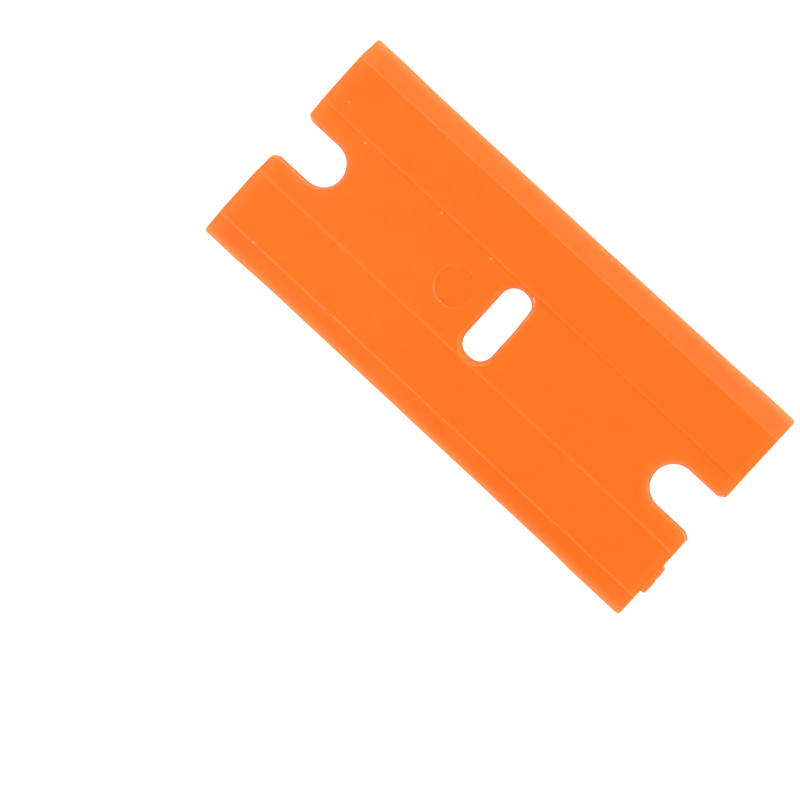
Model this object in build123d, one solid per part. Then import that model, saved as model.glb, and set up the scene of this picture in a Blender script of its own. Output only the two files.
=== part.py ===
"""Double-edged plastic scraper blade for glass and pond liners, injection-moulded in one shot.

The blade lies flat. X runs along the two cutting edges, Y from one cutting edge to the other, and Z
through the thickness. The origin is under the middle of the locating slot, on the plane that the
lower lands rest on. Every wall is drafted away from the parting plane, which lies halfway up.
All sizes are in millimetres and all angles in degrees.
"""

import os
from math import radians, tan

from build123d import *

# Overall sizes
LENGTH = 43.0
WIDTH = 19.7
THICKNESS = 1.3
CORNER_RADIUS = 0.25
END_DRAFT = 5.0

# Cutting edges: the width of each bevel, and the blunt tip that moulding leaves
BEVEL_WIDTH = 1.85
TIP_THICKNESS = 0.15

# Locating slot through the middle, measured at the parting plane, with its long side along Y
SLOT_WIDTH = 2.65
SLOT_LENGTH = 6.45
SLOT_DRAFT = 26.0

# Centre band: a shallow recess in both faces, just wide enough to hold the mouth of the slot
BAND_DEPTH = 0.05
BAND_RAMP = 0.08
BAND_MARGIN = 0.03

# Notch in each short end, measured at the parting plane, with a round bottom and a bevelled mouth
NOTCH_WIDTH = 3.65
NOTCH_DEPTH = 5.15
NOTCH_DRAFT = 22.0
MOUTH_LENGTH = 0.5
MOUTH_WIDTH = 0.28

# Round mark that an ejector pin leaves in the upper face, beside the mouth of the slot
PIN_MARK_DIAMETER = 3.25
PIN_MARK_DEPTH = 0.06
PIN_MARK_GAP = 1.05

# Stub of the broken-off gate on one short end, beside one cutting edge, with a longer burr on it.
# Its faces stand a small step below the lands.
GATE_EDGE_GAP = 2.5
GATE_WIDTH = 2.5
GATE_STEP = 0.05
GATE_LENGTH = 0.38
GATE_BURR_WIDTH = 1.3
GATE_BURR_LENGTH = 0.46

# How far cutting tools run past the faces they cut, and how far the stub roots into the end
OVERRUN = 1.0
GATE_ROOT = 0.3

# Heights above the parting plane, and what follows from the sizes above
LAND_HEIGHT = THICKNESS / 2
BAND_HEIGHT = LAND_HEIGHT - BAND_DEPTH
TIP_HEIGHT = TIP_THICKNESS / 2
GATE_THICKNESS = THICKNESS - 2 * GATE_STEP
SLOT_FLARE = BAND_HEIGHT * tan(radians(SLOT_DRAFT))
BAND_WIDTH = SLOT_LENGTH + 2 * (SLOT_FLARE + BAND_MARGIN + BAND_RAMP)


def cross_section():
    """The blade's section across its width, as a face in the YZ plane about the parting plane."""
    bevel_foot = WIDTH / 2 - BEVEL_WIDTH
    bevel_slope = (LAND_HEIGHT - TIP_HEIGHT) / BEVEL_WIDTH
    past_tip = TIP_HEIGHT / bevel_slope / 2
    quarter = [
        (BAND_WIDTH / 2 - BAND_RAMP, BAND_HEIGHT),
        (BAND_WIDTH / 2, LAND_HEIGHT),
        (bevel_foot, LAND_HEIGHT),
        (WIDTH / 2 + past_tip, TIP_HEIGHT - past_tip * bevel_slope),
    ]
    upper = quarter[::-1] + [(-y, z) for y, z in quarter]
    lower = [(y, -z) for y, z in reversed(upper)]
    return Plane.YZ * make_face(Polyline(*upper, *lower, close=True))


def both_ways(sketch, taper, height):
    """The sketch on the parting plane pulled up and down by height, narrowing by taper each way."""
    upper = extrude(sketch, amount=height, taper=taper)
    return upper + mirror(upper, about=Plane.XY)


def outline_block():
    """The blade's drafted plan outline, without its openings."""
    outline = RectangleRounded(LENGTH, WIDTH, CORNER_RADIUS)
    return both_ways(outline, END_DRAFT, LAND_HEIGHT)


def slot_tool():
    """The locating slot as a tool, wider at the faces than at the parting plane."""
    sketch = Rot(Z=90) * SlotOverall(SLOT_LENGTH, SLOT_WIDTH)
    return both_ways(sketch, -SLOT_DRAFT, LAND_HEIGHT)


def notch_tool():
    """The notch in the right-hand end as a tool: a round bottom, straight sides and a bevelled mouth."""
    half = NOTCH_WIDTH / 2
    end = LENGTH / 2
    bottom = end - NOTCH_DEPTH
    mouth_slope = MOUTH_WIDTH / MOUTH_LENGTH
    outside = end + OVERRUN
    outside_half = half + (MOUTH_LENGTH + OVERRUN) * mouth_slope
    upper_start = (bottom + half, half)
    lower_start = (bottom + half, -half)
    edges = [
        ThreePointArc(lower_start, (bottom, 0), upper_start),
        Polyline(
            upper_start,
            (end - MOUTH_LENGTH, half),
            (outside, outside_half),
            (outside, -outside_half),
            (end - MOUTH_LENGTH, -half),
            lower_start,
        ),
    ]
    return both_ways(make_face(edges), -NOTCH_DRAFT, LAND_HEIGHT)


def pin_mark_tool():
    """The disc that the ejector pin sank into the upper face of the centre band."""
    floor = BAND_HEIGHT - PIN_MARK_DEPTH
    disc = Cylinder(
        PIN_MARK_DIAMETER / 2,
        OVERRUN,
        align=(Align.CENTER, Align.CENTER, Align.MIN),
    )
    slot_mouth = SLOT_WIDTH / 2 + SLOT_FLARE
    centre = slot_mouth + PIN_MARK_GAP + PIN_MARK_DIAMETER / 2
    return Pos(-centre, 0, floor) * disc


def gate_stub():
    """What is left of the gate on the right-hand end, rooted a little way into the blade."""
    end = LENGTH / 2
    low = GATE_EDGE_GAP - WIDTH / 2
    stub = Box(
        GATE_ROOT + GATE_LENGTH,
        GATE_WIDTH,
        GATE_THICKNESS,
        align=(Align.MIN, Align.MIN, Align.CENTER),
    )
    burr = Box(
        GATE_ROOT + GATE_BURR_LENGTH,
        GATE_BURR_WIDTH,
        GATE_THICKNESS,
        align=(Align.MIN, Align.MIN, Align.CENTER),
    )
    return Pos(end - GATE_ROOT, low, 0) * (stub + burr)


def scraper_blade():
    """The whole moulding, in its place on the resting plane."""
    bar = extrude(cross_section(), amount=LENGTH / 2 + OVERRUN, both=True)
    blade = bar & outline_block()
    blade += gate_stub()
    notch = notch_tool()
    for tool in (slot_tool(), notch, mirror(notch, about=Plane.YZ), pin_mark_tool()):
        blade -= tool
    return Pos(Z=LAND_HEIGHT) * blade


os.makedirs("parts", exist_ok=True)
export_step(scraper_blade(), "parts/scraper_blade.step")
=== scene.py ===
"""Looks of a double-edged scraper blade, moulded in one shot in orange polypropylene.

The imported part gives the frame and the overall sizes. The blade's visible skin is one closed surface,
worked out from its section, its plan outlines and the marks that moulding leaves on it, and it stands
for the part's one node. Sizes are in millimetres until a mesh is written, which is in metres.
"""

import logging
import math
from dataclasses import dataclass
from enum import Enum

import bmesh
import bpy
import numpy as np
from mathutils import Matrix, Vector


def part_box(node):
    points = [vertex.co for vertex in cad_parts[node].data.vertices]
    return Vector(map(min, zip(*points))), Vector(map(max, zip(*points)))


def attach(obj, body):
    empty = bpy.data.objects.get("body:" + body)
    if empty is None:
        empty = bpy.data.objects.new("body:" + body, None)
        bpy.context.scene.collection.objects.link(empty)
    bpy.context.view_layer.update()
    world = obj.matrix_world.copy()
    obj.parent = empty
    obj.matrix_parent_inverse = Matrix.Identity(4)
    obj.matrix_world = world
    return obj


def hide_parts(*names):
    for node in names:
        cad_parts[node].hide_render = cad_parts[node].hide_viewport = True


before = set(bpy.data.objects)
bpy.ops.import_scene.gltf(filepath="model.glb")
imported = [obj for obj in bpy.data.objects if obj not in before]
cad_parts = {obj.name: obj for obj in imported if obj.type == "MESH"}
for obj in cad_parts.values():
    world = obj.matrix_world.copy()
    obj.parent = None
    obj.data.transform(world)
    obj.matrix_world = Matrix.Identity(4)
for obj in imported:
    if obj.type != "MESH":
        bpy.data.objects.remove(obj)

LOG = logging.getLogger("scraper_blade")

NODE = "scraper_blade"
BODY = "root"
TONE = "tone"

MM = 0.001
WELD_DISTANCE = 1e-7


class Side(Enum):
    """Which way a mark or a patch faces from the parting plane."""

    UPPER = 1
    LOWER = -1


# ---------------------------------------------------------------------------------------------------
# Curves and grids


def smooth(value: np.ndarray, start: float, stop: float) -> np.ndarray:
    """A step from 0 at start to 1 at stop that is level at both ends: 3t squared less 2t cubed.

    Args:
        value: Where to read the step.
        start: Where it leaves 0.
        stop: Where it reaches 1.

    Returns:
        The step at each value.
    """
    t = np.clip((value - start) / (stop - start), 0.0, 1.0)
    return t * t * (3.0 - 2.0 * t)


def bump(value: np.ndarray, centre: float, spread: float) -> np.ndarray:
    """A bell of height 1 about centre: e to the minus square of the distance in spreads.

    Args:
        value: Where to read the bell.
        centre: Where its top is.
        spread: The distance at which it falls to about a third.

    Returns:
        The bell at each value.
    """
    return np.exp(-(((value - centre) / spread) ** 2))


def graded(start: float, stop: float, count: int, first: float = 1.0, last: float = 1.0) -> np.ndarray:
    """Stations from start to stop that crowd at either end.

    They follow the cubic through both ends whose slopes there are the shares first and last of an
    even spacing.

    Args:
        start: The first station.
        stop: The last station.
        count: How many steps lie between them.
        first: The first step as a share of an even one.
        last: The last step as a share of an even one.

    Returns:
        The count + 1 stations.
    """
    t = np.linspace(0.0, 1.0, count + 1)
    share = (t**3 - 2 * t**2 + t) * first + (3 * t**2 - 2 * t**3) + (t**3 - t**2) * last
    return start + (stop - start) * share


def pairs(x: np.ndarray, y: np.ndarray) -> np.ndarray:
    """Plan points of the given x and y, each of which may be one number for all."""
    return np.stack(np.broadcast_arrays(x, y), axis=-1).astype(float)


def chain(*parts: np.ndarray) -> np.ndarray:
    """Runs of stations or points joined end to end, each dropping its first, which the last one holds."""
    return np.concatenate([parts[0]] + [part[1:] for part in parts[1:]])


def ruled(inner: np.ndarray, outer: np.ndarray, steps: np.ndarray) -> np.ndarray:
    """The grid of straight lines from one curve to another: inner plus step times their difference.

    Args:
        inner: Points of the first curve.
        outer: As many points of the second curve.
        steps: How far along each line the rows lie, from 0 to 1.

    Returns:
        Rows of points, one for each step.
    """
    return inner[None] + steps[:, None, None] * (outer - inner)[None]


def ripple(x: np.ndarray, y: np.ndarray, wavelength: float, seed: int) -> np.ndarray:
    """An uneven surface from -1 to 1: the mean of sine waves of seeded direction, length and phase.

    Args:
        x: Place along the blade.
        y: Place across the blade.
        wavelength: The middle length of the waves.
        seed: Picks one such surface.

    Returns:
        The height at each place.
    """
    waves = 7
    rng = np.random.default_rng(seed)
    angle = rng.uniform(0.0, math.pi, waves)
    number = 2.0 * math.pi / (wavelength * rng.uniform(0.6, 1.7, waves))
    phase = rng.uniform(0.0, 2.0 * math.pi, waves)
    along = np.asarray(x)[..., None] * np.cos(angle) + np.asarray(y)[..., None] * np.sin(angle)
    return np.sin(along * number + phase).mean(axis=-1)


class Skin:
    """Patches of points that become one welded mesh, with a tone at every point.

    The tone says how the painted colour leaves the body colour, mostly as painted light and shade: up
    to 1 where it is paler, down to -1 where it is deeper.
    """

    def __init__(self) -> None:
        """Start with no patches."""
        self.points: list[np.ndarray] = []
        self.tones: list[np.ndarray] = []
        self.faces: list[np.ndarray] = []
        self.count = 0

    def add(self, grid: np.ndarray, tone: float | np.ndarray = 0.0) -> None:
        """Add a grid of points, in rows and columns, as four-sided faces.

        Args:
            grid: The points in millimetres, as rows by columns by three.
            tone: The tone that they start with: one for all, or one for each column.
        """
        rows, columns, _ = grid.shape
        index = np.arange(rows * columns).reshape(rows, columns) + self.count
        corners = (index[:-1, :-1], index[1:, :-1], index[1:, 1:], index[:-1, 1:])
        self.points.append(grid.reshape(-1, 3))
        self.tones.append(np.broadcast_to(tone, (rows, columns)).flatten())
        self.faces.append(np.stack(corners, axis=-1).reshape(-1, 4))
        self.count += rows * columns

    def add_mirrored(self, grid: np.ndarray, sides: tuple[Side, ...]) -> None:
        """Add a grid of the quarter with positive x and y to all four quarters.

        Args:
            grid: The points of the quarter, about the parting plane.
            sides: The faces that it goes on; the upper one alone leaves its heights as they are.
        """
        for side in sides:
            for along in (1, -1):
                for across in (1, -1):
                    self.add(grid * np.array([along, across, side.value]))

    def build(self, name: str, material: bpy.types.Material) -> bpy.types.Object:
        """Write the patches as one mesh object at the origin, welded and facing outwards.

        Args:
            name: The piece's name.
            material: What it is made of.

        Returns:
            The new object.
        """
        mesh = bpy.data.meshes.new(name)
        points = np.concatenate(self.points) * MM
        mesh.from_pydata(points.tolist(), [], np.concatenate(self.faces).tolist())
        tones = mesh.attributes.new(TONE, "FLOAT", "POINT")
        tones.data.foreach_set("value", np.concatenate(self.tones))
        shell = bmesh.new()
        shell.from_mesh(mesh)
        bmesh.ops.remove_doubles(shell, verts=shell.verts, dist=WELD_DISTANCE)
        bmesh.ops.recalc_face_normals(shell, faces=shell.faces)
        open_edges = sum(1 for edge in shell.edges if len(edge.link_faces) != 2)
        shell.to_mesh(mesh)
        shell.free()
        mesh.polygons.foreach_set("use_smooth", np.ones(len(mesh.polygons), bool))
        mesh.materials.append(material)
        piece = bpy.data.objects.new(name, mesh)
        bpy.context.scene.collection.objects.link(piece)
        LOG.info("%s: %d faces, %d open edges", name, len(mesh.polygons), open_edges)
        return piece


# ---------------------------------------------------------------------------------------------------
# The blade's sizes


@dataclass(frozen=True)
class BladeSizes:
    """The blade's sizes in millimetres, with heights counted from the parting plane."""

    half_length: float
    half_width: float
    half_thickness: float
    gate_reach: float
    corner_radius: float = 0.25
    bevel_width: float = 1.85
    tip_half: float = 0.075
    slot_half_width: float = 1.325
    slot_half_length: float = 3.225
    slot_squareness: float = 2.25
    slot_flare: float = 0.293
    band_depth: float = 0.05
    band_ramp: float = 0.08
    band_margin: float = 0.03
    notch_radius: float = 1.825
    notch_depth: float = 5.15
    notch_flare: float = 0.222
    mouth_length: float = 0.5
    mouth_width: float = 0.28
    mouth_softness: float = 0.1
    pin_radius: float = 1.625
    pin_gap: float = 1.05
    pin_depth: float = 0.04
    ramp_softness: float = 0.08
    edge_softness: float = 0.02
    bead_height: float = 0.01
    bead_spread: float = 0.08

    @classmethod
    def from_frame(cls) -> "BladeSizes":
        """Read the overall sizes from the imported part, whose left end has no gate stub."""
        low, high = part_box(NODE)
        half_length = -low.x / MM
        return cls(
            half_length=half_length,
            half_width=high.y / MM,
            half_thickness=(high.z - low.z) / MM / 2,
            gate_reach=high.x / MM - half_length,
        )

    @property
    def slot_straight(self) -> float:
        """Half the straight part of the slot's sides."""
        return self.slot_half_length - self.slot_half_width

    @property
    def band_foot(self) -> float:
        """Distance from the middle to where the centre band's floor ends."""
        return self.slot_half_length + self.slot_flare + self.band_margin

    @property
    def band_top(self) -> float:
        """Distance from the middle to where a land begins."""
        return self.band_foot + self.band_ramp

    @property
    def bevel_foot(self) -> float:
        """Distance from the middle to where a bevel begins."""
        return self.half_width - self.bevel_width

    @property
    def pin_centre(self) -> float:
        """Distance from the middle to the ejector pin's mark, towards the plain end."""
        return self.slot_half_width + self.slot_flare + self.pin_gap + self.pin_radius

    @property
    def notch_centre(self) -> float:
        """Distance from the middle to the centre of a notch's round bottom."""
        return self.half_length - self.notch_depth + self.notch_radius

    def half_height(self, y: np.ndarray) -> np.ndarray:
        """Height of either face above the parting plane.

        The band's floor rises to the land by a smooth step, a little wider than the drawn one. The
        lower of that and the bevel's straight line is taken with a soft corner: half of their sum less
        the root of their difference squared plus the softness squared. A low bead stands along each
        step and each bevel's foot.

        Args:
            y: Place across the blade.

        Returns:
            The height at each place.
        """
        y = np.abs(y)
        ramp = smooth(y, self.band_foot - self.ramp_softness, self.band_top + self.ramp_softness)
        land = self.half_thickness - self.band_depth * (1.0 - ramp)
        slope = (self.half_thickness - self.tip_half) / self.bevel_width
        bevel = self.tip_half + (self.half_width - y) * slope
        soft = np.sqrt((land - bevel) ** 2 + self.edge_softness**2)
        beads = bump(y, self.bevel_foot, self.bead_spread)
        beads = beads + bump(y, self.band_top + 1.5 * self.bead_spread, self.bead_spread)
        sunk = self.bead_height * (1.0 - beads)
        return (land + bevel - soft) / 2 - sunk


# ---------------------------------------------------------------------------------------------------
# The moulding


@dataclass(frozen=True)
class Inset:
    """How far the outlines at one height stand back into the plastic, in millimetres."""

    slot: float
    notch: float
    end: float
    edge: float


@dataclass(frozen=True)
class Tones:
    """How strongly each painted highlight, painted shade and moulding mark leaves the body colour, and the
    reach in millimetres of the glows, painted light that comes in through the plastic.

    A pair is for the +Y and the -Y side, and in the glows for the plain and the gated end.
    """

    # Painted highlights along the steps' crests and the bevels' feet.
    step: tuple[float, float] = (0.17, 0.04)
    step_shoulder: float = 0.05
    foot: tuple[float, float] = (0.2, 0.36)
    # A painted sheen on the -Y bevel, and painted light that comes through the thin tips.
    bevel: tuple[float, float] = (0.0, 0.08)
    tip: tuple[float, float] = (0.08, 0.38)
    # Painted highlights round the slot's mouth and the notches' rims.
    slot_mouth: float = 0.06
    slot_crescents: float = 0.25
    slot_gated_rim: float = 0.22
    notch_rim: float = 0.08
    notch_upper_rim: float = 0.14
    # Painted light on the slot's walls, and painted shade on the notches' -Y walls.
    slot_wall: float = 0.03
    slot_wall_rise: float = 0.17
    notch_wall: float = -0.3
    notch_wall_rise: float = 0.32
    parting: float = 0.4
    # A painted highlight on the pin mark's ring and painted shade just inside it, on its low side.
    pin_ring: float = 0.26
    pin_hollow: float = 0.34
    flow: float = 0.07
    flow_smudge: float = 0.12
    unevenness: float = 0.6
    # Glows: painted light that comes in through the ends, the notches and the slot.
    end_glow: tuple[float, float] = (0.24, 0.18)
    notch_glow: tuple[float, float] = (0.15, 0.2)
    slot_glow: float = 0.08
    end_glow_reach: float = 0.85
    notch_glow_reach: float = 0.7
    slot_glow_reach: float = 0.4
    plain_end_rise: float = 0.03
    gated_end_fall: float = 0.1


@dataclass(frozen=True)
class Warp:
    """How far the moulding stands off its drawn lines, in millimetres.

    The nick is a place, sink is a share of the height, and the lower sides are those of the plain
    and the gated end's notch.
    """

    plain_middle: float = 0.02
    plain_corners: float = 0.06
    plain_lean: float = 0.09
    plain_inset: float = 0.03
    plain_low_corner: float = 0.07
    gated_reach: float = 0.05
    gated_lean: float = 0.05
    gated_swell: float = 0.04
    edge_flare: float = 0.08
    edge_inset: float = 0.03
    edge_wander: float = 0.03
    upper_edge_drift: float = 0.06
    lower_edge_reach: float = 0.015
    lower_edge_swell: float = 0.05
    mismatch: float = 0.05
    slot_closing: float = 0.09
    notch_bottom: float = 0.04
    notch_lower_sides: tuple[float, float] = (0.055, 0.04)
    notch_mouth: float = 0.05
    nick: tuple[float, float] = (16.5, 1.1)
    nick_depth: float = 0.05
    nick_spread: float = 0.16
    pin_ridge: float = 0.01
    pin_grain: float = 0.004
    sink: float = 0.008


@dataclass
class BladeMoulding:
    """The blade itself, as one closed skin of face patches, drafted walls and the openings' walls."""

    sizes: BladeSizes
    tones: Tones = Tones()
    warp: Warp = Warp()
    slot_block: float = 2.1
    notch_block: float = 2.2
    band_rows: int = 18
    slot_tip_columns: int = 10
    pin_columns: int = 22
    plain_columns: int = 30
    notch_arc_columns: int = 14
    notch_side_columns: int = 14
    mouth_columns: int = 10
    ramp_rows: int = 8
    land_rows: int = 26
    bevel_rows: int = 18
    slot_rows: int = 10
    notch_rows: int = 12
    pin_rows: tuple[int, int, int] = (9, 14, 10)
    slot_tip_angle: float = math.radians(50)
    pin_split_angle: float = math.radians(58)
    notch_split_angle: float = math.radians(125)
    rim_radius: float = 0.06
    end_rim: float = 0.08
    edge_rim: float = 0.05
    flash: float = 0.02
    wall_rows: tuple[float, ...] = (0.0, 0.05, 0.12, 0.4, 0.7, 1.0)
    wall_turn_rows: int = 5
    wall_turn_limit: float = 0.6
    pin_low_side: float = math.radians(228)
    pin_rim: tuple[float, float] = (0.14, 0.16)

    def plan(self, inset: Inset) -> dict[str, np.ndarray]:
        """Work out one quarter of the blade's plan as grids that meet along their edges.

        Args:
            inset: How far the outlines stand back.

        Returns:
            The grids round the slot, the pin mark and the notch, the plain grid between them and the
            strips outside the centre band, each as rows of plan points.
        """
        s = self.sizes
        rows = graded(0.0, s.band_foot, self.band_rows, last=0.3)
        up = rows / s.band_foot
        pin_left = self.slot_block
        pin_right = 2 * s.pin_centre - pin_left
        notch_left = s.half_length - s.notch_depth - self.notch_block

        slot_top = graded(self.slot_block, 0.0, self.slot_tip_columns)
        pin_top = graded(pin_right, pin_left, self.pin_columns)
        plain = graded(pin_right, notch_left, self.plain_columns)

        slot_outer = chain(pairs(self.slot_block, rows), pairs(slot_top, s.band_foot))
        slot = ruled(self.slot_rim(up, inset.slot), slot_outer, graded(0, 1, self.slot_rows, first=0.3))

        pin_outer = chain(pairs(pin_right, rows), pairs(pin_top, s.band_foot), pairs(pin_left, rows[::-1]))
        pin, disc = self.pin_grids(up, pin_outer)

        notch_inner, notch_top = self.notch_rim(up, notch_left, inset)
        notch_outer = chain(pairs(notch_left, rows), pairs(notch_top, s.band_foot))
        notch = ruled(notch_inner, notch_outer, graded(0, 1, self.notch_rows, first=0.25, last=0.5))

        lines = chain(slot_top[::-1], pin_top[::-1], plain, notch_top)
        return {
            "slot": slot,
            "pin": pin,
            "disc": disc,
            "plain": np.stack(np.broadcast_arrays(plain[None, :], rows[:, None]), axis=-1),
            "notch": notch,
            "strips": self.strips(lines, inset),
        }

    def slot_rim(self, up: np.ndarray, inset: float) -> np.ndarray:
        """A quarter of the slot's outline: up its straight side, then round its end.

        A place s along it is (a, s) up to the straight's end. From there it is at the angle that s runs
        on by, divided by a, about that end's centre, on a slightly squared circle of radius a: the
        powers of x and y, to the squareness, add up to that power of a.

        Args:
            up: The centre band's rows, as shares of its half width.
            inset: How far the outline stands back.

        Returns:
            The outline's points, from the slot's waist to its end.
        """
        s = self.sizes
        radius = s.slot_half_width + inset
        side = up * (s.slot_straight + radius * self.slot_tip_angle)
        tip = s.slot_straight + radius * graded(self.slot_tip_angle, math.pi / 2, self.slot_tip_columns)
        run = chain(side, tip)
        turned = np.maximum(run - s.slot_straight, 0.0) / radius
        cosine, sine = np.abs(np.cos(turned)), np.sin(turned)
        squared = radius * (cosine**s.slot_squareness + sine**s.slot_squareness) ** (-1 / s.slot_squareness)
        return pairs(squared * cosine, np.minimum(run, s.slot_straight) + squared * sine)

    def pin_grids(self, up: np.ndarray, outer: np.ndarray) -> tuple[np.ndarray, np.ndarray]:
        """The half rings inside and outside the ejector pin's mark, crowded at its rim.

        Args:
            up: The centre band's rows, as shares of its half width.
            outer: The rectangle that the outer rings end on.

        Returns:
            The grid outside the mark's ridge, and the grid from the ridge to the middle of the mark.
        """
        s = self.sizes
        first = self.pin_split_angle
        hollow_rows, rim_rows, outer_rows = self.pin_rows
        turns = chain(
            up * first,
            graded(first, math.pi - first, self.pin_columns),
            math.pi - up[::-1] * first,
        )
        middle = np.array([s.pin_centre, 0.0])
        spokes = pairs(np.cos(turns), np.sin(turns))
        inside = graded(0.0, s.pin_radius - self.pin_rim[0], hollow_rows)
        rim = graded(s.pin_radius - self.pin_rim[0], s.pin_radius + self.pin_rim[1], rim_rows)
        disc = middle + chain(inside, rim)[:, None, None] * spokes[None]
        outside = ruled(disc[-1], outer, graded(0, 1, outer_rows, first=0.5))
        return outside, disc

    def notch_rim(self, up: np.ndarray, left: float, inset: Inset) -> tuple[np.ndarray, np.ndarray]:
        """Half of the notch's outline: round its bottom, along its side and out of its bevelled mouth.

        The bottom is an arc, the side is straight, and the mouth is the cubic curve drawn by the ends
        of the bevel and a short way past them, which rounds both of its corners.

        Args:
            up: The centre band's rows, as shares of its half width.
            left: Where the columns over the arc begin.
            inset: How far the outlines stand back.

        Returns:
            The outline's points, and the places along the blade of the columns over it.
        """
        s = self.sizes
        radius = s.notch_radius + inset.notch
        end = s.half_length - inset.end
        mouth = end - s.mouth_length - s.mouth_softness
        split = self.notch_split_angle
        turns = chain(math.pi - up * (math.pi - split), graded(split, math.pi / 2, self.notch_arc_columns))
        arc = pairs(s.notch_centre + radius * np.cos(turns), radius * np.sin(turns))
        side = graded(s.notch_centre, mouth, self.notch_side_columns)
        corners = np.array(
            [
                [mouth, radius],
                [end - s.mouth_length, radius],
                [end, radius + s.mouth_width],
                [end, radius + s.mouth_width + s.mouth_softness],
            ]
        )
        t = graded(0.0, 1.0, self.mouth_columns)[:, None]
        weights = np.concatenate([(1 - t) ** 3, 3 * t * (1 - t) ** 2, 3 * t**2 * (1 - t), t**3], axis=1)
        outline = chain(arc, pairs(side, radius), weights @ corners)
        columns = chain(
            graded(left, s.notch_centre, self.notch_arc_columns),
            side,
            graded(mouth, end, self.mouth_columns, last=0.5),
        )
        return outline, columns

    def strips(self, lines: np.ndarray, inset: Inset) -> np.ndarray:
        """The step, the land and the bevel as one grid, with the blade's corner rounded.

        Past the corner arc's start, the last columns are drawn in to the arc: its radius less the root
        of the radius squared less the height above the arc's centre squared.

        Args:
            lines: Where the columns stand along the blade.
            inset: How far the outlines stand back.

        Returns:
            Rows of points from the centre band out to the cutting edge.
        """
        s = self.sizes
        edge = s.half_width - inset.edge
        end = s.half_length - inset.end
        rows = chain(
            graded(s.band_foot, s.band_top, self.ramp_rows),
            graded(s.band_top, s.bevel_foot, self.land_rows, first=0.2, last=0.2),
            graded(s.bevel_foot, edge, self.bevel_rows, first=0.3, last=0.25),
        )
        above = np.clip(rows - (edge - s.corner_radius), 0.0, s.corner_radius)
        drawn = s.corner_radius - np.sqrt(s.corner_radius**2 - above**2)
        pull = drawn[:, None] * smooth(lines, end - 4 * s.corner_radius, end)[None, :]
        return np.stack(np.broadcast_arrays(lines[None, :] - pull, rows[:, None]), axis=-1)

    @staticmethod
    def outer_loop(grids: dict[str, np.ndarray]) -> np.ndarray:
        """A quarter of the blade's outline, from the notch's bottom round to the cutting edge's middle.

        Args:
            grids: The plan's grids.

        Returns:
            The outline's points.
        """
        notch = grids["notch"]
        strips = grids["strips"]
        return chain(notch[0], notch[:, -1], strips[:, -1], strips[-1, ::-1])

    def wall(self, rim: np.ndarray, middle: np.ndarray) -> np.ndarray:
        """Carry the wall's profile along an outline.

        The profile leaves the parting line's thin flash, runs straight out with the draft, and turns
        into the face by a quarter ellipse. It is the same below the parting plane.

        Args:
            rim: The outline where the wall meets the face.
            middle: The same outline at the parting plane.

        Returns:
            The wall as a grid, from the lower face to the upper one.
        """
        height = self.sizes.half_height(rim[:, 1])
        back = rim - middle
        reach = np.linalg.norm(back, axis=1)
        turn = np.minimum(self.rim_radius, reach)
        straight_back = 1.0 - turn / reach
        straight_up = 1.0 - np.minimum(turn / height, self.wall_turn_limit)
        draft = np.array(self.wall_rows)
        arc = np.linspace(0.0, math.pi / 2, self.wall_turn_rows + 1)[1:]
        one = np.ones_like(arc)
        back_share = np.concatenate([draft, one], 0)[:, None] * straight_back
        back_share += np.concatenate([0 * draft, 1 - np.cos(arc)])[:, None] * (1 - straight_back)
        up_share = np.concatenate([draft, one], 0)[:, None] * straight_up
        up_share += np.concatenate([0 * draft, np.sin(arc)])[:, None] * (1 - straight_up)
        ridge = np.zeros(len(back_share))
        ridge[:2] = (self.flash, self.flash / 4)
        thick = smooth(height, self.sizes.tip_half, 4 * self.sizes.tip_half)
        plan = middle + back * back_share[..., None]
        plan = plan - (back / reach[:, None]) * (ridge[:, None] * thick)[..., None]
        level = up_share * height
        upper = np.concatenate([plan, level[..., None]], axis=-1)
        lower = upper[:0:-1] * np.array([1, 1, -1])
        return np.concatenate([lower, upper])

    def from_slot(self, x: np.ndarray, y: np.ndarray) -> np.ndarray:
        """Distance outwards from the slot's mouth: from its middle line, less the mouth's radius.

        Args:
            x: Place along the blade.
            y: Place across the blade.

        Returns:
            The distance, negative inside the mouth.
        """
        s = self.sizes
        past = np.maximum(np.abs(y) - s.slot_straight, 0.0)
        return np.hypot(x, past) - s.slot_half_width - s.slot_flare

    def from_notch(self, x: np.ndarray, y: np.ndarray) -> np.ndarray:
        """Distance outwards from the nearer notch's rim: from its middle line, less the rim's radius.

        Args:
            x: Place along the blade.
            y: Place across the blade.

        Returns:
            The distance, negative inside the rim.
        """
        s = self.sizes
        short = np.maximum(s.notch_centre - np.abs(x), 0.0)
        return np.hypot(short, y) - s.notch_radius - s.notch_flare

    def around_pin(self, x: np.ndarray, y: np.ndarray) -> tuple[np.ndarray, np.ndarray]:
        """Where a point is about the middle of the ejector pin's mark.

        Args:
            x: Place along the blade.
            y: Place across the blade.

        Returns:
            The distance from the middle, and how far the way there points to the low side: the cosine
            of the angle between them, from -1 to 1.
        """
        along, across = x + self.sizes.pin_centre, y
        radius = np.hypot(along, across)
        low = along * math.cos(self.pin_low_side) + across * math.sin(self.pin_low_side)
        return radius, low / np.maximum(radius, 0.01)

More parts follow.
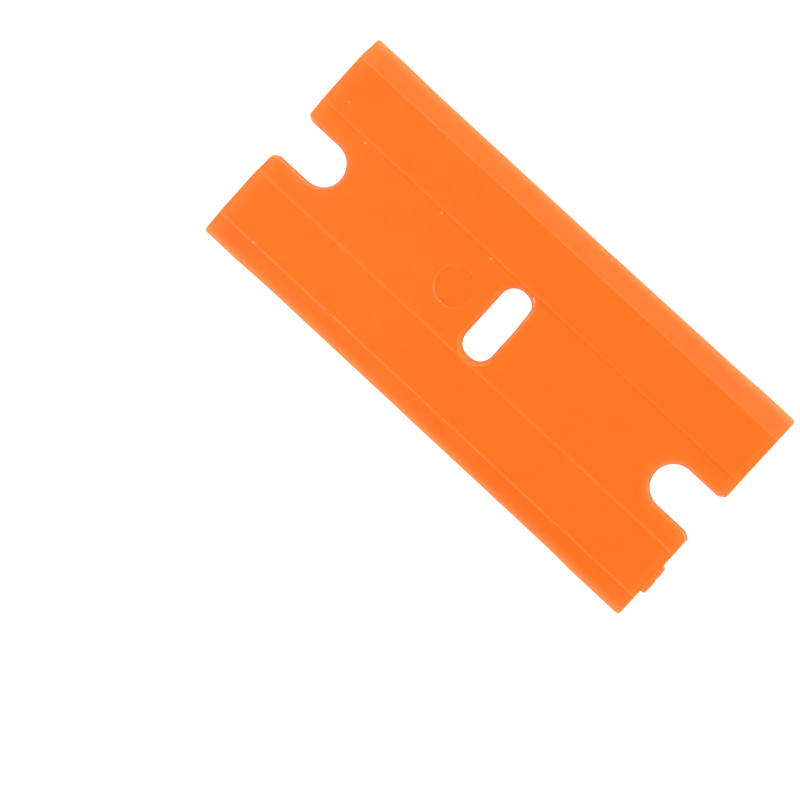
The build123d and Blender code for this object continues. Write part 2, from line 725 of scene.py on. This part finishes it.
    def glow(self, x: np.ndarray, y: np.ndarray) -> np.ndarray:
        """How much paler the plastic is where light comes in through a nearby end or opening.

        A wide bell falls away from each end, and the light falls by a steady share from the notches and
        from the gated side of the slot. The whole blade is a little paler towards its plain end.

        Args:
            x: Place along the blade.
            y: Place across the blade.

        Returns:
            The tone to add.
        """
        t = self.tones
        from_notch = np.maximum(self.from_notch(x, y), 0.0)
        from_slot = np.maximum(self.from_slot(x, y), 0.0)
        ends = np.where(x < 0, *t.end_glow) * bump(np.abs(x), self.sizes.half_length, t.end_glow_reach)
        notches = np.where(x < 0, *t.notch_glow) * np.exp(-from_notch / t.notch_glow_reach)
        slot = t.slot_glow * smooth(x, -1.5, 1.5) * np.exp(-from_slot / t.slot_glow_reach)
        return ends + notches + slot + t.plain_end_rise - t.gated_end_fall * smooth(x, -14.0, 14.0)

    def tone(self, x: np.ndarray, y: np.ndarray, z: np.ndarray) -> np.ndarray:
        """How the colour leaves the body colour at each point.

        Painted highlights run as paler bells along the crests of both steps and both bevels' feet, round
        the slot's mouth, the notches' rims and the ejector pin's mark, all a little uneven. The thin tips
        are paler, painted light that comes through them, and the whole of the -Y bevel has a painted
        sheen. A faint line lies where the plastic flowed in from the gate, and ends in a smudge. The
        slot's walls are paler with painted light, most of all on the +Y side. Painted shade deepens the
        notches' -Y walls and the low side of the pin mark, just inside its ring; the parting line in the
        openings is deeper too.

        Args:
            x: Place along the blade.
            y: Place across the blade.
            z: Height above the parting plane.

        Returns:
            The tone, from -1 to 1.
        """
        s, t = self.sizes, self.tones
        far = np.abs(y)
        shifted = far + 0.02 * ripple(x, 0 * x, 2.2, seed=21)
        uneven = 1.0 + t.unevenness * ripple(x, 0.3 * y, 1.3, seed=22)
        plus = y > 0
        on_bevel = smooth(far, s.bevel_foot, s.bevel_foot + 0.08)
        at_tip = np.clip((far - s.half_width + 1.2) / 1.2, 0.0, 1.0) ** 2
        # Painted highlights along the steps' crests, the +Y one strongest.
        step = np.where(
            plus,
            t.step[0] * bump(shifted, s.band_top + 0.1, 0.1),
            t.step[1] * bump(shifted, s.band_top, 0.09)
            + t.step_shoulder * bump(shifted, s.band_foot - 0.2, 0.09),
        )
        # Painted highlights along both bevels' feet.
        foot = np.where(plus, *t.foot) * bump(shifted, s.bevel_foot, 0.08)
        # A painted sheen on the -Y bevel, and painted light that comes through the thin tips.
        bevel = np.where(plus, *t.bevel) * on_bevel + np.where(plus, *t.tip) * at_tip
        slot = self.from_slot(x, y)
        notch = self.from_notch(x, y)
        # Painted highlights round the slot's mouth, its -Y crescents and gated rim, and the notches' rims.
        crescents = t.slot_crescents * smooth(-y, 1.9, 2.6) * smooth(np.abs(x), 0.1, 0.7)
        mouths = (t.slot_mouth + crescents) * bump(slot, 0.02, 0.07)
        mouths += t.slot_gated_rim * smooth(x, 0.2, 1.2) * smooth(y, -1.5, 0.5) * bump(slot, -0.05, 0.13)
        mouths += (t.notch_rim + t.notch_upper_rim * smooth(y, 0.0, 1.5)) * bump(notch, 0.03, 0.09)
        # Painted light on the slot's walls, most on their +Y side, and painted shade on the notches' -Y
        # walls.
        facing = smooth(y, -0.6, 0.8)
        walls = (t.slot_wall + t.slot_wall_rise * facing) * (1 - smooth(slot, -0.2, -0.02))
        walls += (t.notch_wall + t.notch_wall_rise * facing) * (1 - smooth(notch, -0.2, -0.02))
        parting = t.parting * (bump(slot, -s.slot_flare, 0.05) + bump(notch, -s.notch_flare, 0.05))
        radius, low = self.around_pin(x, y)
        # A painted highlight on the pin mark's ring and painted shade just inside it, both on its low side.
        ring = t.pin_ring * bump(radius, s.pin_radius, 0.09) * (0.3 + 0.7 * smooth(low, -0.2, 0.9))
        ring -= t.pin_hollow * bump(radius, s.pin_radius - 0.18, 0.11) * smooth(low, 0.0, 0.95)
        flow = t.flow * smooth(x, 4.0, 9.0) * (1 - smooth(x, 17.5, 19.0))
        flow = flow + t.flow_smudge * bump(x, 18.2, 0.3)
        flow = flow * bump(y, -5.9 + 0.1 * ripple(x, 0 * x, 6.0, seed=23), 0.08)
        # The pin mark's painted light and shade and the real flow line go on the upper face only.
        marks = (ring + flow) * (z > 0)
        return (step + foot + mouths + marks) * uneven + bevel + walls - parting + self.glow(x, y)

    def nicked(self, x: np.ndarray, y: np.ndarray) -> np.ndarray:
        """How far the nick in the gated end's notch pushes the plastic in, along and across alike."""
        w = self.warp
        return w.nick_depth * bump(np.hypot(x - w.nick[0], y - w.nick[1]), 0.0, w.nick_spread)

    def end_shift(self, x: np.ndarray, y: np.ndarray) -> np.ndarray:
        """How far the two ends stand off their drawn lines, along the blade.

        The plain end bows and leans: its lands stand out most, the -Y one more than the other. The
        gated end leans the other way, and its notch has a nick.

        Args:
            x: Place along the blade.
            y: Place across the blade.

        Returns:
            The shift along x.
        """
        s, w = self.sizes, self.warp
        far = np.abs(y)
        plain = w.plain_middle * (1 - smooth(far, 2.4, 4.6))
        plain += w.plain_corners * smooth(far, s.bevel_foot - 0.4, s.half_width)
        plain += w.plain_lean * smooth(y, -4.5, 4.5) - w.plain_inset
        plain -= w.plain_low_corner * smooth(-y, s.bevel_foot, s.half_width)
        gated = w.gated_reach + w.gated_lean * smooth(-y, -3.0, 3.0) + w.gated_swell * bump(y, 2.8, 0.6)
        at_plain = smooth(-x, s.half_length - 5.0, s.half_length)
        at_gated = smooth(x, s.half_length - 1.5, s.half_length)
        return plain * at_plain + gated * at_gated + self.nicked(x, y)

    def edge_shift(self, x: np.ndarray, y: np.ndarray) -> np.ndarray:
        """How far the cutting edges stand off their drawn lines, across the blade.

        They flare a little towards both ends and wander. The +Y one drifts out towards the gated end,
        and the -Y one swells near its notch. The nick counts across the blade as well.

        Args:
            x: Place along the blade.
            y: Place across the blade.

        Returns:
            The shift along y.
        """
        s, w = self.sizes, self.warp
        wander = 0.5 + 0.5 * ripple(x, np.sign(y) * 3.0, 5.0, seed=3)
        flare = w.edge_flare * smooth(np.abs(x), 14.5, 19.0) - w.edge_inset - w.edge_wander * wander
        upper = w.upper_edge_drift * smooth(x, 0.0, 16.0)
        lower = w.lower_edge_reach + w.lower_edge_swell * bump(x, 16.4, 1.5)
        flare += np.where(y > 0, upper, lower)
        return np.sign(y) * flare * smooth(np.abs(y), s.bevel_foot, s.half_width) - self.nicked(x, y)

    def opening_shift(self, x: np.ndarray, y: np.ndarray, z: np.ndarray) -> tuple[np.ndarray, np.ndarray]:
        """How far the openings' rims and walls stand off their drawn lines.

        The upper half of the slot sits off the lower one, as the two mould halves did, and its side
        towards the gated end closes in near the +Y end. The plain end's notch is a little deeper. The
        -Y sides of both notches stand in, and so does the +Y corner of the plain end's mouth.

        Args:
            x: Place along the blade.
            y: Place across the blade.
            z: Height above the parting plane.

        Returns:
            The shifts along x and along y.
        """
        s, w = self.sizes, self.warp
        by_slot = bump(np.maximum(self.from_slot(x, y), 0.0), 0.0, 0.35)
        by_notch = bump(np.maximum(self.from_notch(x, y), 0.0), 0.0, 0.35)
        closing = smooth(x, 0.3, 1.2) * smooth(y, 0.3, 1.9) * (1 - smooth(y, 2.2, 2.9))
        bottom = smooth(s.notch_centre - np.abs(x), 0.0, 1.2) * (x < 0)
        lower = np.where(x < 0, *w.notch_lower_sides) * smooth(-y, 1.0, 1.8)
        mouth = w.notch_mouth * smooth(-x, s.half_length - 0.7, s.half_length - 0.1) * (y > 0)
        along = w.notch_bottom * bottom * by_notch - w.slot_closing * closing * by_slot
        across = by_notch * (lower - mouth)
        return along, across - w.mismatch * by_slot * np.clip(z / s.half_thickness, 0.0, 1.0)

    def face_shift(self, x: np.ndarray, y: np.ndarray, z: np.ndarray) -> np.ndarray:
        """How far the faces stand off their drawn heights.

        They sink by a share of their height. A low bead runs round every opening. The ejector pin's
        mark is a shallow disc, deeper at its low side, with a thin ridge round it.

        Args:
            x: Place along the blade.
            y: Place across the blade.
            z: Height above the parting plane.

        Returns:
            The shift along z.
        """
        s, w = self.sizes, self.warp
        sink = 0.5 + 0.5 * ripple(x, y, 7.0, seed=11)
        radius, low = self.around_pin(x, y)
        tilt = 1.0 + 0.8 * low * radius / s.pin_radius
        mark = -s.pin_depth * tilt * (1 - smooth(radius, s.pin_radius - self.pin_rim[0], s.pin_radius))
        mark += w.pin_ridge * tilt * bump(radius, s.pin_radius + 0.04, 0.05)
        mark += w.pin_grain * ripple(x, y, 0.7, seed=5) * (radius < s.pin_radius - 0.1)
        rims = np.minimum(self.from_slot(x, y), self.from_notch(x, y))
        bead = np.sign(z) * s.bead_height * bump(rims, 0.12, 0.06)
        return mark * (z > 0) + bead - w.sink * sink * z

    def settle(self, skin: Skin) -> None:
        """Give the ideal skin a real moulding's unevenness, its painted light and shade and its marks' tones,
        and put it on its resting plane.

        Args:
            skin: The patches to change.
        """
        for points, tones in zip(skin.points, skin.tones):
            x, y, z = points.T.copy()
            along, across = self.opening_shift(x, y, z)
            tones += self.tone(x, y, z)
            points[:, 0] += self.end_shift(x, y) + along
            points[:, 1] += self.edge_shift(x, y) + across
            points[:, 2] += self.face_shift(x, y, z) + self.sizes.half_thickness

    def build(self, material: bpy.types.Material) -> bpy.types.Object:
        """Build the blade's skin as one object.

        Args:
            material: The orange plastic.

        Returns:
            The blade.
        """
        s = self.sizes
        rim = self.plan(Inset(slot=s.slot_flare, notch=s.notch_flare, end=self.end_rim, edge=self.edge_rim))
        middle = self.plan(Inset(slot=0.0, notch=0.0, end=self.flash, edge=0.0))
        skin = Skin()
        for grid in rim.values():
            face = np.concatenate([grid, s.half_height(grid[..., 1])[..., None]], axis=-1)
            skin.add_mirrored(face, (Side.UPPER, Side.LOWER))
        skin.add_mirrored(self.wall(self.outer_loop(rim), self.outer_loop(middle)), (Side.UPPER,))
        skin.add_mirrored(self.wall(rim["slot"][0], middle["slot"][0]), (Side.UPPER,))
        self.settle(skin)
        piece = skin.build("blade_moulding", material)
        weighted = piece.modifiers.new("even_shading", "WEIGHTED_NORMAL")
        weighted.keep_sharp = True
        return piece


# ---------------------------------------------------------------------------------------------------
# What moulding leaves behind


@dataclass
class GateStub:
    """The torn stub of the gate on the blade's right-hand end."""

    sizes: BladeSizes
    edge_gap: float = 2.5
    width: float = 2.62
    half_thickness: float = 0.644
    root: float = 0.05
    overlap: float = 0.1
    edge_power: int = 30
    notch_power: int = 12
    squareness: tuple[float, float] = (0.3, 0.35)
    body_share: float = 0.85
    swells: tuple[tuple[float, float, float], ...] = ((0.2, 0.3, 0.16), (0.12, 0.0, 0.12), (0.07, 0.66, 0.09))
    fall: float = 0.68
    raggedness: float = 0.04
    tear_depth: float = 0.035
    root_tone: float = 0.03
    torn_tone: float = 0.1
    stations: int = 72
    ring: int = 40

    def reach(self, along: np.ndarray) -> np.ndarray:
        """How far the torn end stands out, from the cutting edge's side to the notch's side.

        Bells swell it at the cutting edge's side, most of all a third of the way along, and at two
        thirds, and it falls off at the notch's side.

        Args:
            along: Place across the stub, from 0 to 1.

        Returns:
            The distance past the blade's end.
        """
        swells = sum(height * bump(along, middle, spread) for height, middle, spread in self.swells)
        shape = self.body_share + swells - self.fall * smooth(along, 0.88, 1.0)
        ragged = self.raggedness * ripple(along, 0 * along, 0.16, seed=2)
        return self.sizes.gate_reach * (shape + ragged)

    def build(self, material: bpy.types.Material) -> bpy.types.Object:
        """Build the stub: a squared-off oval section in x and z, carried across the end along y.

        The section reaches a little way over the blade's end, and all the way out to the torn face.
        The section shrinks to a point at both sides by the sixth root of 1 less a high power of the
        distance from the middle, higher towards the cutting edge, where the stub ends squarely. Its
        outer half is roughened where the plastic tore.

        Args:
            material: The whitened orange plastic.

        Returns:
            The stub.
        """
        s = self.sizes
        across = graded(-1.0, 1.0, self.stations, first=0.1, last=0.12)
        around = np.linspace(0.0, 2 * math.pi, self.ring + 1)
        share = (across + 1) / 2
        power = np.where(across < 0, self.edge_power, self.notch_power)
        size = np.maximum(1 - np.abs(across) ** power, 0.0) ** (1 / 6)
        cosine, sine = np.cos(around), np.sin(around)
        out = np.sign(cosine) * np.abs(cosine) ** self.squareness[0]
        up = np.sign(sine) * np.abs(sine) ** self.squareness[1]
        start = s.half_length - self.root
        length = self.root + self.reach(share)
        rough = ripple(share[:, None] * 9, around[None, :] * 1.2, 1.1, seed=8)
        tear = self.tear_depth * rough * (out > 0.6)[None, :]
        tear[:, -1] = tear[:, 0]
        outwards = size[:, None] * length[:, None] * out[None, :] * (1 - np.abs(tear))
        x = start + np.where(out > 0, outwards, self.overlap * size[:, None] * out[None, :])
        y = self.edge_gap - s.half_width + self.width * share[:, None] + 0 * out[None, :]
        z = s.half_thickness + size[:, None] * self.half_thickness * up[None, :] * (1 + tear)
        skin = Skin()
        tone = self.root_tone + self.torn_tone * np.maximum(out, 0.0)
        skin.add(np.stack([x, y, z], axis=-1), tone=tone)
        return skin.build("gate_stub", material)


@dataclass(frozen=True)
class Crumb:
    """A crumb of flash: where it sits, half its length, width and height, how it turns, and its tone."""

    x: float
    y: float
    long: float
    wide: float
    high: float
    turn: float
    tone: float = 0.45


@dataclass
class FlashCrumbs:
    """Crumbs of flash that cling to the step, the slot's rim and the bevel's foot."""

    sizes: BladeSizes
    unevenness: float = 0.25
    sunk: float = 0.012
    crumbs: tuple[Crumb, ...] = (
        Crumb(-19.7, 4.85, 0.13, 0.11, 0.03, 0.4, 0.35),
        Crumb(-16.7, 3.4, 0.15, 0.11, 0.03, 1.2),
        Crumb(-8.8, 3.42, 0.12, 0.1, 0.03, 0.2),
        Crumb(-3.7, 3.4, 0.17, 0.13, 0.03, 0.7, 0.4),
        Crumb(-4.1, 1.64, 0.09, 0.06, 0.02, 0.1, 0.3),
        Crumb(-4.4, -1.56, 0.12, 0.08, 0.02, 0.2, 0.4),
        Crumb(0.85, 3.33, 0.28, 0.07, 0.05, -0.62, 0.9),
        Crumb(-18.0, -7.95, 0.14, 0.1, 0.03, 0.1),
    )

    def build(self, material: bpy.types.Material) -> bpy.types.Object:
        """Build every crumb as a small uneven egg, half sunk in the face.

        Args:
            material: The whitened orange plastic.

        Returns:
            The crumbs as one piece.
        """
        s = self.sizes
        skin = Skin()
        tilt = np.linspace(0.0, math.pi, 10)[:, None]
        around = np.linspace(0.0, 2 * math.pi, 17)[None, :]
        for number, crumb in enumerate(self.crumbs):
            bumps = ripple(np.cos(around) * np.sin(tilt), np.sin(around) * np.sin(tilt), 1.0, number)
            uneven = 1 + self.unevenness * bumps
            a = crumb.long * np.sin(tilt) * np.cos(around) * uneven
            b = crumb.wide * np.sin(tilt) * np.sin(around) * uneven
            x = crumb.x + a * math.cos(crumb.turn) - b * math.sin(crumb.turn)
            y = crumb.y + a * math.sin(crumb.turn) + b * math.cos(crumb.turn)
            floor = s.half_thickness + s.half_height(np.array(crumb.y)) - self.sunk
            z = floor + crumb.high * np.cos(tilt) * uneven
            skin.add(np.stack(np.broadcast_arrays(x, y, z), axis=-1), tone=crumb.tone)
        return skin.build("flash_crumbs", material)


# ---------------------------------------------------------------------------------------------------
# Finishes


def linear(colour: str) -> tuple[float, float, float, float]:
    """Turn an sRGB colour to linear, by the sRGB curve: a straight foot, then a power of 2.4.

    Args:
        colour: The colour in hex, such as #FF8020.

    Returns:
        Its linear red, green and blue, and an alpha of 1.
    """
    channels = [int(colour[i : i + 2], 16) / 255 for i in (1, 3, 5)]
    curved = [c / 12.92 if c <= 0.04045 else ((c + 0.055) / 1.055) ** 2.4 for c in channels]
    return (*curved, 1.0)


def add_node(tree: bpy.types.NodeTree, kind: str, settings: dict, inputs: dict) -> bpy.types.Node:
    """Add a node, set it up and link it.

    Args:
        tree: The material's or world's node tree.
        kind: The node's type.
        settings: Property names and their values.
        inputs: Input names or numbers, each with a value or with the output socket that feeds it.

    Returns:
        The new node.
    """
    node = tree.nodes.new(kind)
    for name, value in settings.items():
        setattr(node, name, value)
    for key, value in inputs.items():
        if isinstance(value, bpy.types.NodeSocket):
            tree.links.new(value, node.inputs[key])
        else:
            node.inputs[key].default_value = value
    return node


def per_metre(size_mm: float) -> float:
    """The texture scale, in cycles a metre, of a pattern whose features are size_mm apart."""
    return 1.0 / (size_mm * MM)


def blank_material(name: str) -> bpy.types.Material:
    """Make a material whose node tree is empty.

    Args:
        name: The material's name.

    Returns:
        The material.
    """
    material = bpy.data.materials.new(name)
    material.use_nodes = True
    material.node_tree.nodes.clear()
    return material


@dataclass(frozen=True)
class OrangePolypropylene:
    """Polypropylene pigmented bright orange, moulded against a finely blasted tool.

    The eye gets a flat, very saturated orange with a soft satin light on it, a faint cloudiness where
    the pigment flowed, a paler orange painted as highlights on crests and rims and as light coming in
    through ends and openings, a yellower one painted where the cutting edges are so thin that light
    comes through, and a redder one painted as shade in the notches, and along the parting line.
    The blasted grain is drawn as coarse as it needs to be to show.
    """

    sizes: BladeSizes
    body: str = "#F27311"
    cloud: str = "#F26D0B"
    # pale takes the painted highlights and glows with the flow line; deep takes the painted shade with the
    # parting line.
    pale: str = "#FF9D5C"
    deep: str = "#E04C00"
    thin: str = "#E8A56A"
    roughness: float = 0.45
    roughness_spread: float = 0.05
    ior: float = 1.49
    specular: float = 0.2
    scattering: float = 0.6
    scattering_reach: tuple[float, float, float] = (1.0, 0.3, 0.06)
    scattering_mm: float = 1.0
    cloud_mm: float = 6.0
    speckle_mm: float = 0.45
    speckle_tone: float = 0.02
    grain_mm: float = 0.14
    grain_height_mm: float = 0.02
    grain_strength: float = 0.12
    thin_inside_mm: float = 0.75
    thin_outside_mm: float = 0.3
    thin_share: float = 0.6

    def build(self, name: str) -> bpy.types.Material:
        """Make the material.

        Args:
            name: The material's name.

        Returns:
            The material, with its patterns on object coordinates and its tone from the mesh.
        """
        material = blank_material(name)
        tree = material.node_tree
        place = add_node(tree, "ShaderNodeTexCoord", {}, {}).outputs["Object"]
        patterns = (
            (self.cloud_mm, {"Detail": 3.0, "Distortion": 0.8}),
            (self.speckle_mm, {"Detail": 2.0}),
            (self.grain_mm, {"Detail": 2.0, "Roughness": 0.6}),
        )
        clouds, speckle, grain = (
            add_node(
                tree, "ShaderNodeTexNoise", {}, {"Vector": place, "Scale": per_metre(size), **more}
            ).outputs["Fac"]
            for size, more in patterns
        )
        flecks = add_node(
            tree,
            "ShaderNodeMapRange",
            {},
            {
                "Value": speckle,
                "From Min": 0.3,
                "From Max": 0.7,
                "To Min": -self.speckle_tone,
                "To Max": self.speckle_tone,
            },
        ).outputs["Result"]
        # The mesh's tone is mostly painted light and shade: paler towards pale, deeper towards deep.
        tone = add_node(tree, "ShaderNodeAttribute", {"attribute_name": TONE}, {}).outputs["Fac"]
        paler = add_node(tree, "ShaderNodeMath", {"operation": "ADD"}, {0: tone, 1: flecks}).outputs[0]
        deeper = add_node(tree, "ShaderNodeMath", {"operation": "MULTIPLY"}, {0: paler, 1: -1.0}).outputs[0]
        across = add_node(tree, "ShaderNodeSeparateXYZ", {}, {0: place}).outputs["Y"]
        far = add_node(tree, "ShaderNodeMath", {"operation": "ABSOLUTE"}, {0: across}).outputs[0]
        thinning = add_node(
            tree,
            "ShaderNodeMapRange",
            {"interpolation_type": "SMOOTHSTEP"},
            {
                "Value": far,
                "From Min": (self.sizes.half_width - self.thin_inside_mm) * MM,
                "From Max": (self.sizes.half_width + self.thin_outside_mm) * MM,
                "To Max": self.thin_share,
            },
        ).outputs["Result"]
        layers = ((clouds, self.cloud), (paler, self.pale), (deeper, self.deep), (thinning, self.thin))
        colour = linear(self.body)
        for share, laid_over in layers:
            inputs = {"Factor": share, 6: colour, 7: linear(laid_over)}
            colour = add_node(tree, "ShaderNodeMix", {"data_type": "RGBA"}, inputs).outputs[2]
        satin = add_node(
            tree,
            "ShaderNodeMapRange",
            {},
            {
                "Value": grain,
                "To Min": self.roughness - self.roughness_spread,
                "To Max": self.roughness + self.roughness_spread,
            },
        ).outputs["Result"]
        blasted = add_node(
            tree,
            "ShaderNodeBump",
            {},
            {"Height": grain, "Strength": self.grain_strength, "Distance": self.grain_height_mm * MM},
        ).outputs["Normal"]
        plastic = add_node(
            tree,
            "ShaderNodeBsdfPrincipled",
            {},
            {
                "Base Color": colour,
                "Roughness": satin,
                "Normal": blasted,
                "IOR": self.ior,
                "Specular IOR Level": self.specular,
                "Subsurface Weight": self.scattering,
                "Subsurface Radius": self.scattering_reach,
                "Subsurface Scale": self.scattering_mm * MM,
            },
        ).outputs["BSDF"]
        add_node(tree, "ShaderNodeOutputMaterial", {}, {"Surface": plastic})
        return material


@dataclass(frozen=True)
class PalePaper:
    """Matt white paper, the plain floor."""

    colour: str = "#FCFCFB"
    cloud: str = "#FAFAF9"
    cloud_mm: float = 60.0
    roughness: float = 0.9
    specular: float = 0.1

    def build(self, name: str) -> bpy.types.Material:
        """Make the material, with a faint cloudiness that keeps it from looking blank.

        Args:
            name: The material's name.

        Returns:
            The material, with its pattern on object coordinates.
        """
        material = blank_material(name)
        tree = material.node_tree
        place = add_node(tree, "ShaderNodeTexCoord", {}, {}).outputs["Object"]
        scale = per_metre(self.cloud_mm)
        clouds = add_node(tree, "ShaderNodeTexNoise", {}, {"Vector": place, "Scale": scale}).outputs["Fac"]
        inputs = {"Factor": clouds, 6: linear(self.colour), 7: linear(self.cloud)}
        base = add_node(tree, "ShaderNodeMix", {"data_type": "RGBA"}, inputs).outputs[2]
        sheet = add_node(
            tree,
            "ShaderNodeBsdfPrincipled",
            {},
            {"Base Color": base, "Roughness": self.roughness, "Specular IOR Level": self.specular},
        ).outputs["BSDF"]
        add_node(tree, "ShaderNodeOutputMaterial", {}, {"Surface": sheet})
        return material


# ---------------------------------------------------------------------------------------------------
# The studio


@dataclass
class Studio:
    """The pale floor, the broad key light, the even white surroundings and the camera."""

    floor_size: float = 40.0
    floor_drop: float = 0.8
    sky_strength: float = 0.75
    key_strength: float = 2.0
    key_spread: float = math.radians(36)
    key_elevation: float = math.radians(52)
    key_azimuth: float = math.radians(68)
    camera_distance: float = 0.35
    camera_turn: float = math.radians(-42.53)
    camera_tilts: tuple[float, float] = (math.radians(1.1), math.radians(-8.37))
    camera_offset: tuple[float, float] = (0.007454, 0.005697)
    lens: float = 207.6
    sensor: float = 36.0

    def build_floor(self) -> None:
        """Lay the floor as a flat sheet under the blade."""
        half = self.floor_size / 2
        line = np.linspace(-half, half, 9)
        flat = np.stack(np.broadcast_arrays(line[:, None], line[None, :], -self.floor_drop), axis=-1)
        skin = Skin()
        skin.add(flat / MM)
        floor = skin.build("floor", PalePaper().build("pale_paper"))

    def build_lights(self) -> None:
        """Light the blade by a broad, far key beyond the +Y edge, in even white surroundings."""
        world = bpy.data.worlds.new("studio")
        bpy.context.scene.world = world
        world.use_nodes = True
        world.node_tree.nodes.clear()
        sky = add_node(
            world.node_tree,
            "ShaderNodeBackground",
            {},
            {"Color": (1.0, 1.0, 1.0, 1.0), "Strength": self.sky_strength},
        ).outputs[0]
        add_node(world.node_tree, "ShaderNodeOutputWorld", {}, {"Surface": sky})
        lamp = bpy.data.lights.new("soft_key", "SUN")
        lamp.energy = self.key_strength
        lamp.angle = self.key_spread
        key = bpy.data.objects.new("soft_key", lamp)
        level = math.cos(self.key_elevation)
        along, across = math.cos(self.key_azimuth) * level, math.sin(self.key_azimuth) * level
        back = Vector((along, across, math.sin(self.key_elevation)))
        key.rotation_euler = back.to_track_quat("Z", "Y").to_euler()
        bpy.context.scene.collection.objects.link(key)

    def build_camera(self) -> None:
        """Put the camera almost square to the blade, with the blade turned in its view."""
        tilt_x, tilt_y = self.camera_tilts
        turn = (
            Matrix.Rotation(tilt_x, 3, "X")
            @ Matrix.Rotation(tilt_y, 3, "Y")
            @ Matrix.Rotation(self.camera_turn, 3, "Z")
        )
        seen = Vector((*self.camera_offset, -self.camera_distance))
        lens = bpy.data.cameras.new("camera")
        lens.lens = self.lens
        lens.sensor_width = self.sensor
        lens.clip_start = 0.01
        lens.clip_end = 20.0
        camera = bpy.data.objects.new("camera", lens)
        back = turn.transposed()
        camera.matrix_world = Matrix.Translation(back @ -seen) @ back.to_4x4()
        bpy.context.scene.collection.objects.link(camera)
        bpy.context.scene.camera = camera

    def build(self) -> None:
        """Build the whole studio, with plain display colours."""
        self.build_camera()
        self.build_lights()
        self.build_floor()
        bpy.context.scene.view_settings.view_transform = "Standard"


def main() -> None:
    """Build the blade, what moulding left on it, and the studio."""
    logging.basicConfig(level=logging.INFO, format="%(name)s: %(message)s")
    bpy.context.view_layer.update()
    sizes = BladeSizes.from_frame()
    plastic = OrangePolypropylene(sizes).build("moulded_orange_polypropylene")
    whitened = OrangePolypropylene(sizes, pale="#FBB08C", scattering=0.2).build("whitened_polypropylene")
    pieces = (
        BladeMoulding(sizes).build(plastic),
        GateStub(sizes).build(whitened),
        FlashCrumbs(sizes).build(whitened),
    )
    for piece in pieces:
        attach(piece, BODY)
        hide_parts(NODE)
        LOG.info("%s rides on %s", piece.name, BODY)
    Studio().build()


if __name__ == "__main__":
    main()
